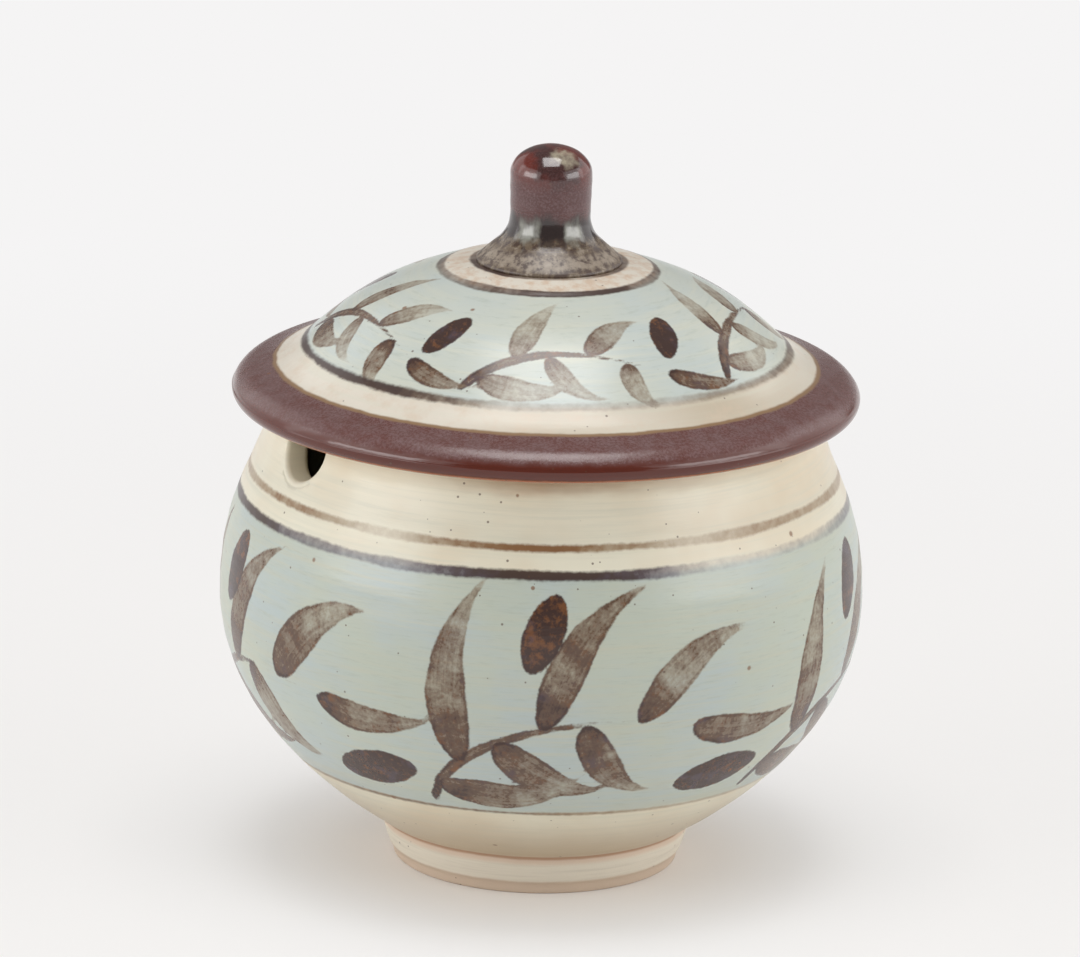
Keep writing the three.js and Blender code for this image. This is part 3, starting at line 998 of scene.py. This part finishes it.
def pot_glaze():
    """Cream glaze with painted shade low on the belly and under the brim, a blue-green zone round the
    belly, painted rings, brush strokes and a bare foot.
    """
    paint = Paint("pot_glaze")
    plain = cream_glaze(paint)
    # Painted shade: the cream turns darker and warmer low on the belly, on the underside that faces the
    # floor
    shade = paint.mix(paint.below(paint.height, "low belly"), plain, CREAM_LOW_SHADED)
    # The top of the neck turns brown, most at the front: partly a thin brown glaze, partly painted shade
    # under the brim
    neck = paint.above(paint.swayed(paint.height, "neck"), "neck")
    shade = paint.mix(paint.times(neck, paint.around(NECK_SHADE_AND_BROWNING)), shade, CREAM_BROWN_SHADE)
    celadon = celadon_glaze(paint, CELADON_BLUE, CELADON, CELADON_CREAM)
    shade = paint.mix(paint.within(paint.swayed(paint.height, "zone"), "zone"), shade, celadon)
    shine = GLAZE_ROUGHNESS
    for layer in ("stem", "leaf", "bud"):
        shade, shine = strokes(paint, layer, shade, shine)
    for name in ("high line", "zone top", "zone bottom"):
        shade = painted_ring(paint, shade, paint.height, name)
    shade = paint.mix(paint.outside(), plain, shade)
    crease = paint.swayed(paint.height, "crease")
    near_foot = paint.math("LESS_THAN", paint.height, FOOT_HEIGHT + 1)
    on_foot = paint.times(paint.below(crease, "foot"), near_foot)
    shade = paint.mix(on_foot, shade, foot_glaze(paint, crease))
    shine = paint.mix_value(on_foot, shine, BARE_ROUGHNESS)
    grit = paint.times(paint.grain(*GRAINS["pot grit"]), paint.plus(on_foot, GLAZE_GRIT))
    finish_glaze(paint, shade, shine, grit)
    return paint.material


def brim_glaze(paint):
    """Matt brown mottled with violet on the brim's top, over a deep red glossy edge. Gives the
    colour, the roughness and how matt the place is."""
    upper = paint.above(paint.swayed(paint.height, "brim edge"), "brim edge")
    bloom = paint.pattern("brim bloom")
    top = paint.mix(paint.pattern("brim patches"), BRIM_TOP, BRIM_RED)
    top = paint.mix(paint.times(bloom, BRIM_BLOOM), top, BRIM_GREY)
    shade = paint.mix(upper, BRIM_FACE, top)
    shade = paint.mix(paint.below(paint.swayed(paint.height, "lip"), "lip"), shade, LIP_BROWN)
    matt = paint.spread(bloom, 0.0, 1.0, MATT_ROUGHNESS)
    return shade, paint.mix_value(upper, EDGE_ROUGHNESS, matt), upper


def lid_glaze():
    """Blue-green dome, cream bands with painted shade round the front, painted rings and the brown brim."""
    paint = Paint("lid_glaze")
    # Painted shade: the cream band is darker and warmer round its front and right side
    shade = paint.mix(paint.around(BAND_SHADE), CREAM_BAND, CREAM_BAND_SHADE)
    shade = paint.mix(paint.pattern("band smears"), shade, CREAM_PEACH)
    shade = paint.mix(paint.pattern("band streaks"), shade, CREAM_GREY)
    crown = paint.mix(paint.pattern("crown patches"), CREAM_BAND, CROWN_PEACH)
    shade = paint.mix(paint.math("LESS_THAN", paint.radius, CROWN_LINE_RADIUS), shade, crown)
    celadon = celadon_glaze(paint, DOME_BLUE, DOME_CELADON, CREAM_GREY)
    shade = paint.mix(paint.within(paint.radius, "dome"), shade, celadon)
    shine = GLAZE_ROUGHNESS
    for layer in ("stem", "leaf", "bud"):
        shade, shine = strokes(paint, layer, shade, shine)
    for name in ("dome", "crown", "seat"):
        shade = painted_ring(paint, shade, paint.radius, name)
    border = paint.swayed(paint.radius, "brim")
    shade = paint.mix(paint.above(border, "brim border"), shade, BRIM_BORDER)
    brim = paint.above(border, "brim")
    brim_shade, brim_shine, matt = brim_glaze(paint)
    shade = paint.mix(brim, shade, brim_shade)
    shine = paint.mix_value(brim, shine, brim_shine)
    shade = paint.mix(paint.outside(), CREAM_WARM, shade)
    pits = paint.plus(paint.times(paint.times(brim, matt), BRIM_GRIT), DOME_GRIT)
    finish_glaze(paint, shade, shine, paint.times(paint.grain(*GRAINS["lid grit"]), pits))
    paint.set(paint.shader, IOR=LID_IOR)
    return paint.material


def cap_patch(paint, mottle):
    """The pale patch on top of the knob, from 0 to 1."""
    away = paint.node("ShaderNodeVectorMath", operation="DISTANCE")
    paint.plug(away.inputs[0], paint.stretch(1.0, 1.0))
    away.inputs[1].default_value = CAP_PATCH
    cap = paint.below(paint.swayed(away.outputs["Value"], "knob cap"), "knob cap")
    return paint.times(cap, paint.spread(mottle, 0.4, 0.6, CAP_COVER))


def knob_glaze():
    """Brown glaze that breaks to pale runs at the neck, which are partly painted reflections of the side
    lamps, and to olive mottling on the flare.
    """
    paint = Paint("knob_glaze")
    mottle = paint.grain(*GRAINS["knob mottle"])
    sides = paint.within(paint.swayed(paint.height, "knob sides"), "knob sides")
    head = paint.mix(paint.pattern("knob patches"), KNOB_RED, KNOB_DARK)
    shade = paint.mix(sides, head, KNOB_VIOLET)
    bloom = paint.times(paint.pattern("knob bloom"), paint.spread(sides, 0.0, 1.0, KNOB_BLOOM))
    shade = paint.mix(bloom, shade, KNOB_GREY)
    height = paint.swayed(paint.height, "knob neck")
    shade = paint.mix(paint.below(height, "knob neck"), shade, NECK_BLACK)
    # Pale runs at the neck, where the side lamps would shine in it: partly a pale glaze, partly painted
    # reflection
    runs = paint.above(paint.swayed(paint.around(NECK_RUNS_AND_REFLECTIONS), "knob runs"), "knob runs")
    shade = paint.mix(paint.times(runs, paint.within(height, "knob runs")), shade, RUN_PALE_AND_REFLECTION)
    flare = paint.mix(paint.above(mottle, "flare olive"), FLARE_BROWN, FLARE_OLIVE)
    flare = paint.mix(paint.above(mottle, "flare pale"), flare, ROOT_PALE)
    shade = paint.mix(paint.below(height, "flare"), shade, flare)
    root = paint.within(paint.swayed(paint.height, "knob root"), "knob root")
    shade = paint.mix(paint.times(root, paint.above(mottle, "knob root")), shade, ROOT_PALE)
    shade = paint.mix(cap_patch(paint, mottle), shade, BEIGE)
    rough = paint.mix_value(sides, HEAD_ROUGHNESS, SIDES_ROUGHNESS)
    rough = paint.mix_value(paint.below(paint.height, "knob matt"), rough, ROOT_ROUGHNESS)
    pits = paint.spread(sides, 0.0, 1.0, KNOB_GRIT)
    finish_glaze(paint, shade, rough, paint.times(paint.grain(*GRAINS["knob grit"]), pits))
    paint.set(paint.shader, IOR=KNOB_IOR)
    return paint.material


# Brush strokes: each is a line on the surface with a width and a tone along it
class Stroke:
    """One brush stroke. points are places on the surface in metres, widths in millimetres."""

    def __init__(self, points, widths, tones):
        self.points = np.array(points)
        self.widths = np.array(widths) * MM
        self.tones = np.array(tones)
        steps = np.linalg.norm(np.diff(self.points, axis=0), axis=1)
        self.runs = np.concatenate([[0], np.cumsum(steps)])


def brush(place, corners, width, tones, head=STROKE_HEAD):
    """A stroke through the corners of a curve drawn in millimetres on the unrolled surface. A small
    head lands the brush early and draws the tail out thin, and 1 makes both ends alike."""
    line = curve(*corners, STROKE_STEPS)
    share = np.linspace(0, 1, len(line))
    swell = np.sin(np.pi * np.clip(share, *STROKE_ENDS) ** head)
    if head < 1:
        swell **= np.where(share**head < 0.5, HEAD_SWELL, TAIL_SWELL)
    else:
        swell **= OVAL_SWELL
    points = [place(round_mm, up_mm) for round_mm, up_mm in line]
    return Stroke(points, width / 2 * swell, np.interp(share, STROKE_TONE_PLACES, tones))


def vertex_rows(mesh, name):
    """A value that the mesh holds for each vertex, such as its place, as rows of three."""
    rows = np.empty(len(mesh.vertices) * 3)
    mesh.vertices.foreach_get(name, rows)
    return rows.reshape(-1, 3)


def paint_strokes(piece, name, marks):
    """Writes, for each vertex, its place relative to the nearest stroke: how far outside its edge,
    how far along and how far to the side, in millimetres, and the stroke's tone."""
    mesh = piece.data
    spots = vertex_rows(mesh, "co")
    normals = vertex_rows(mesh, "normal")
    place = np.full((len(spots), 3), NO_STROKE)
    tone = np.zeros(len(spots))
    for number, mark in enumerate(marks):
        low = mark.points.min(0) - STROKE_REACH
        high = mark.points.max(0) + STROKE_REACH
        near = np.where(((spots > low) & (spots < high)).all(1))[0]
        here = spots[near]
        best = np.full(len(near), np.inf)
        row = np.zeros((len(near), 4))
        for i in range(len(mark.points) - 1):
            start = mark.points[i]
            way = mark.points[i + 1] - start
            share = np.clip((here - start) @ way / (way @ way), 0, 1)
            gap = here - start - share[:, None] * way
            away = np.linalg.norm(gap, axis=1)
            edge = away - (mark.widths[i] + share * (mark.widths[i + 1] - mark.widths[i]))
            side = np.sign(np.einsum("ij,ij->i", np.cross(way, gap), normals[near])) * away
            run = mark.runs[i] + share * (mark.runs[i + 1] - mark.runs[i])
            shade = mark.tones[i] + share * (mark.tones[i + 1] - mark.tones[i])
            closer = edge < best
            best = np.where(closer, edge, best)
            found = np.stack([edge, run, side, shade], axis=1)
            row = np.where(closer[:, None], found, row)
        better = row[:, 0] / MM < place[near, 0]
        chosen = near[better]
        place[chosen] = row[better, :3] / MM + [0, STROKE_RUN_GAP * number, 0]
        tone[chosen] = row[better, 3]
    spot = mesh.attributes.new(name + "_place", "FLOAT_VECTOR", "POINT")
    spot.data.foreach_set("vector", place.ravel())
    shade = mesh.attributes.new(name + "_tone", "FLOAT", "POINT")
    shade.data.foreach_set("value", tone)


def unrolled(outline, start, round_radius):
    """Turns a distance round the form and a distance up its outline into a place on the surface.
    start is where the outline's distance is counted from, as an index, and round_radius is the
    radius at which a millimetre round the form is a true one."""
    dots = np.array(outline)
    runs = np.concatenate([[0], np.cumsum(np.linalg.norm(np.diff(dots, axis=0), axis=1))])
    runs -= runs[start]

    def place(round_mm, up_mm):
        radius = float(np.interp(up_mm, runs, dots[:, 0])) * MM
        height = float(np.interp(up_mm, runs, dots[:, 1])) * MM
        angle = round_mm / round_radius
        return (radius * math.cos(angle), radius * math.sin(angle), height)

    return place


def turned(way, degrees):
    """A direction turned to the left."""
    cosine = math.cos(math.radians(degrees))
    sine = math.sin(math.radians(degrees))
    return np.array([way[0] * cosine - way[1] * sine, way[0] * sine + way[1] * cosine])


def direction(line, last, first):
    """The direction from one point of the line to another."""
    way = line[last] - line[first]
    return way / np.linalg.norm(way)


def sprig(place, start, motif, chance):
    """A stem that bends to one side, with leaves on its sides in turn and one at its tip."""
    leaves = motif["leaves"]
    turn = motif["heading"] + chance.uniform(-HEADING_CHANCE, HEADING_CHANCE)
    way = turned(np.array([1.0, 0.0]), turn)
    base = np.array(motif["base"], float) + [start, 0]
    corners = [base]
    for bend, share in STEM_CORNERS:
        corners.append(base + turned(way, motif["bend"] * bend) * motif["length"] * share)
    stem = brush(place, corners, STEM_WIDTH, STEM_TONES, STEM_HEAD)
    line = np.array(curve(*corners, STEM_STEPS))
    blades = []
    for number in range(leaves):
        share = LEAF_PLACES[0] + LEAF_PLACES[1] * number / max(leaves - 1, 1)
        spot = int(STEM_STEPS * share)
        root = line[spot]
        run = direction(line, spot + 2, spot - 2)
        upper = number % 2 == 1
        lean = motif["spread"][0] if upper else -motif["spread"][1]
        size = motif["leaf"] * (1 - LEAF_SHRINK * number / leaves)
        size *= (UPPER_LEAF if upper else LOWER_LEAF) * chance.uniform(*LEAF_SIZE_CHANCE)
        tip = root + turned(run, lean) * size
        first = turned(run, lean * LEAF_FIRST_LEAN)
        last = turned(run, lean * LEAF_LAST_LEAN) * size
        blade = [root + first, root + first * size * LEAF_PULLS[0], tip - last * LEAF_PULLS[1], tip]
        tone = chance.uniform(*motif["tones"])
        width = motif["leaf_width"] * chance.uniform(*LEAF_WIDTH_CHANCE)
        blades.append(brush(place, blade, width, [tone + change for change in LEAF_TONES]))
    end = line[-1]
    run = direction(line, -1, -4)
    last = [end]
    for degrees, share in TIP_LEAF:
        last.append(end + turned(run, degrees) * motif["leaf"] * share)
    blades.append(brush(place, last, motif["leaf_width"] * TIP_LEAF_WIDTH, TIP_LEAF_TONES))
    return stem, blades


def bud(place, centre, heading, length, width):
    """A solid oval touch of the loaded brush."""
    way = turned(np.array([1.0, 0.0]), heading)
    centre = np.array(centre, float)
    corners = [centre + way * length * share for share in (-1 / 2, -1 / 6, 1 / 6, 1 / 2)]
    return brush(place, corners, width, BUD_TONES, 1.0)


def leaf_sprays(piece, place, round_radius, motif):
    """The same spray several times round the form, each drawn a little differently."""
    chance = random.Random(motif["seed"])
    layers = {"stem": [], "leaf": [], "bud": []}
    for number in range(motif["count"]):
        start = 2 * math.pi * round_radius * number / motif["count"]
        stem, blades = sprig(place, start, motif, chance)
        layers["stem"].append(stem)
        layers["leaf"] += blades
        for across, up, heading, length, width in motif["buds"]:
            heading += chance.uniform(-BUD_CHANCE, BUD_CHANCE)
            layers["bud"].append(bud(place, (start + across, up), heading, length, width))
    for layer, marks in layers.items():
        paint_strokes(piece, layer, marks)


def notch_sides():
    """The slot's outline across the wall: its place, height and outward direction."""
    half = NOTCH_WIDTH / 2
    middle = RIM_HEIGHT - NOTCH_DEPTH + half
    top = RIM_HEIGHT + CUTTER_PAST
    down = np.linspace(top, middle, NOTCH_STEPS, endpoint=False)
    up = np.linspace(middle, top, NOTCH_STEPS + 1)[1:]
    sides = [(half, height, 1.0, 0.0) for height in down]
    for turn in np.radians(np.linspace(0, -180, num=33)):
        cosine = math.cos(turn)
        sine = math.sin(turn)
        sides.append((half * cosine, middle + half * sine, cosine, sine))
    return sides + [(-half, height, -1.0, 0.0) for height in up]


def notch_cutter():
    """A round-bottomed slot that flares where it meets the inside and outside of the wall."""
    radii, heights = np.array(pot_outside()).T
    rounds = []
    for turn in np.radians(np.linspace(0, 90, num=7)):
        rounds.append((NOTCH_ROUNDING * (1 - math.cos(turn)), NOTCH_ROUNDING * (1 - math.sin(turn))))
    flare = NOTCH_ROUNDING + CUTTER_GROWTH
    rows = []
    for across, height, out_y, out_z in notch_sides():
        radius = np.interp(min(height, RIM_HEIGHT), heights, radii)
        outer = math.sqrt(radius**2 - across**2)
        inner = math.sqrt((radius - WALL) ** 2 - across**2)
        stations = [(inner - CUTTER_PAST, flare)]
        stations += [(inner - CUTTER_GAP + depth, grow) for depth, grow in rounds]
        stations += [(outer + CUTTER_GAP - depth, grow) for depth, grow in rounds[::-1]]
        stations.append((outer + CUTTER_PAST, flare))
        row = []
        for x, grow in stations:
            row.append((-x * MM, (across + out_y * grow) * MM, (height + out_z * grow) * MM))
        rows.append(row)
    mesh = bmesh.new()
    dots = [[mesh.verts.new(spot) for spot in row] for row in rows]
    for first, second in zip(dots, dots[1:] + dots[:1]):
        for i in range(len(first) - 1):
            mesh.faces.new((first[i], first[i + 1], second[i + 1], second[i]))
    mesh.faces.new([row[0] for row in dots])
    mesh.faces.new([row[-1] for row in dots][::-1])
    bmesh.ops.recalc_face_normals(mesh, faces=mesh.faces)
    data = bpy.data.meshes.new("notch_cutter")
    mesh.to_mesh(data)
    mesh.free()
    return add_object("notch_cutter", data)


def cut_notch(piece):
    """Takes the spoon notch out of the rim."""
    cutter = notch_cutter()
    cut = piece.modifiers.new("notch", "BOOLEAN")
    cut.operation = "DIFFERENCE"
    cut.solver = "EXACT"
    cut.object = cutter
    mesh = final_mesh(piece)
    piece.modifiers.remove(cut)
    material = piece.data.materials[0]
    piece.data = mesh
    mesh.name = piece.name
    one_material(mesh, material)
    bpy.data.objects.remove(cutter)


def mark_outside(piece, is_outside):
    """Writes 1 for each vertex on the outer side of the wall and 0 for the others."""
    spots = vertex_rows(piece.data, "co") / MM
    outer = is_outside(np.hypot(spots[:, 0], spots[:, 1]), spots[:, 2])
    mark = piece.data.attributes.new("outside", "FLOAT", "POINT")
    mark.data.foreach_set("value", outer.astype(float))


def outside_of_pot(radius, height):
    """Whether a place lies on the outer side of the pot's wall."""
    radii, heights = np.array(pot_outside()).T
    return radius > np.interp(height, heights, radii) - WALL / 2


def outside_of_lid(radius, height):
    """Whether a place lies on the dome's outer side or on the brim."""
    radii, heights = np.array(dome_outside()[::-1]).T
    limit = np.interp(radius, radii, heights) - LID_WALL / 2
    limit = np.where(radius < DOME_EDGE_RADIUS, limit, LID_OUTSIDE_HEIGHT)
    return (height > limit) | (radius > BRIM_INNER_RADIUS)


def make_pot():
    outside = pot_outside()
    piece = thrown("thrown_pot", pot_outline(), POT_UNEVEN, pot_glaze(), AROUND, POT_HAND)
    cut_notch(piece)
    belly = int(np.argmax([radius for radius, height in outside]))
    leaf_sprays(piece, unrolled(outside, belly, BELLY_RADIUS), BELLY_RADIUS, POT_SPRAY)
    mark_outside(piece, outside_of_pot)
    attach(piece, "pot")
    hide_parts("pot")


def make_lid():
    piece = thrown("thrown_lid", lid_outline(), LID_UNEVEN, lid_glaze(), AROUND, LID_HAND)
    leaf_sprays(piece, unrolled(dome_outside(), 0, LID_ROUND_RADIUS), LID_ROUND_RADIUS, LID_SPRAY)
    mark_outside(piece, outside_of_lid)
    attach(piece, "lid")
    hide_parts("lid")


def make_knob():
    piece = thrown("thrown_knob", knob_outline(), KNOB_UNEVEN, knob_glaze(), KNOB_AROUND, KNOB_HAND)
    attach(piece, "lid")
    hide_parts("knob")


# The studio
def facing(degrees, pitch):
    """The direction from the pot to the camera at this turn and pitch."""
    turn = math.radians(degrees)
    lift = math.radians(pitch)
    return Vector((math.cos(lift) * math.sin(turn), -math.cos(lift) * math.cos(turn), math.sin(lift)))


def aim(thing, target_height, distance, turn, pitch):
    """Puts a camera or lamp so far from a point on the pot's axis, looking at it."""
    way = facing(turn, pitch)
    thing.location = Vector((0, 0, target_height)) + distance * way
    thing.rotation_euler = (-way).to_track_quat("-Z", "Y").to_euler()


def make_camera():
    data = bpy.data.cameras.new("camera")
    data.sensor_width = SENSOR
    data.lens = LENS_PIXELS * SENSOR / IMAGE_WIDTH
    data.shift_x = -TARGET_RIGHT / IMAGE_WIDTH
    data.shift_y = TARGET_DOWN / IMAGE_WIDTH
    data.clip_end = CAMERA_SIGHT
    camera = add_object("camera", data)
    aim(camera, TARGET_HEIGHT, CAMERA_DISTANCE, CAMERA_TURN, CAMERA_PITCH)
    camera.rotation_euler.rotate_axis("Z", math.radians(CAMERA_ROLL))
    bpy.context.scene.camera = camera


def soft_lamp(name, turn, pitch, distance, width, height, power):
    data = bpy.data.lights.new(name, "AREA")
    data.shape = "RECTANGLE"
    data.size = width
    data.size_y = height
    data.energy = power
    aim(add_object(name, data), LAMP_TARGET_HEIGHT, distance, CAMERA_TURN + turn, pitch)


def paper_sweep():
    """A pale floor that fades to plain white far from the pot, as paper lit from all round does."""
    paint = Paint("paper_sweep")
    tree = paint.tree
    shader = paint.shader
    paint.set(shader, Base_Color=FLOOR_COLOUR, Roughness=PAPER_ROUGHNESS, Specular_IOR_Level=PAPER_SHINE)
    glow = paint.node("ShaderNodeEmission")
    paint.set(glow, Color=WHITE_PAPER, Strength=1.0)
    ray = paint.node("ShaderNodeLightPath").outputs
    seen = paint.math("MAXIMUM", ray["Is Camera Ray"], ray["Is Glossy Ray"])
    seen = paint.math("MAXIMUM", seen, ray["Is Transmission Ray"])
    near = paint.times(paint.above(paint.radius, "near paper"), PAPER_LIFT)
    far = paint.mix_value(paint.above(paint.radius, "far paper"), near, 1.0)
    cover = paint.node("ShaderNodeMixShader")
    for number, socket in enumerate((paint.times(seen, far), shader.outputs[0], glow.outputs[0])):
        tree.links.new(socket, cover.inputs[number])
    tree.links.new(cover.outputs[0], tree.nodes["Material Output"].inputs["Surface"])
    half = PAPER_HALF_WIDTH
    corners = [(-half, -half, 0), (half, -half, 0), (half, half, 0), (-half, half, 0)]
    mesh = bpy.data.meshes.new("paper_sweep")
    mesh.from_pydata(corners, [], [(0, 1, 2, 3)])
    mesh.materials.append(paint.material)
    floor = add_object("paper_sweep", mesh)


def make_studio():
    paper_sweep()
    for lamp in LAMPS:
        soft_lamp(*lamp)
    world = bpy.data.worlds.new("studio_air")
    bpy.context.scene.world = world
    world.use_nodes = True
    air = world.node_tree.nodes["Background"].inputs
    air["Color"].default_value = (1, 1, 1, 1)
    air["Strength"].default_value = AIR_STRENGTH


make_pot()
make_lid()
make_knob()
make_camera()
make_studio()
bpy.context.scene.view_settings.view_transform = "Standard"
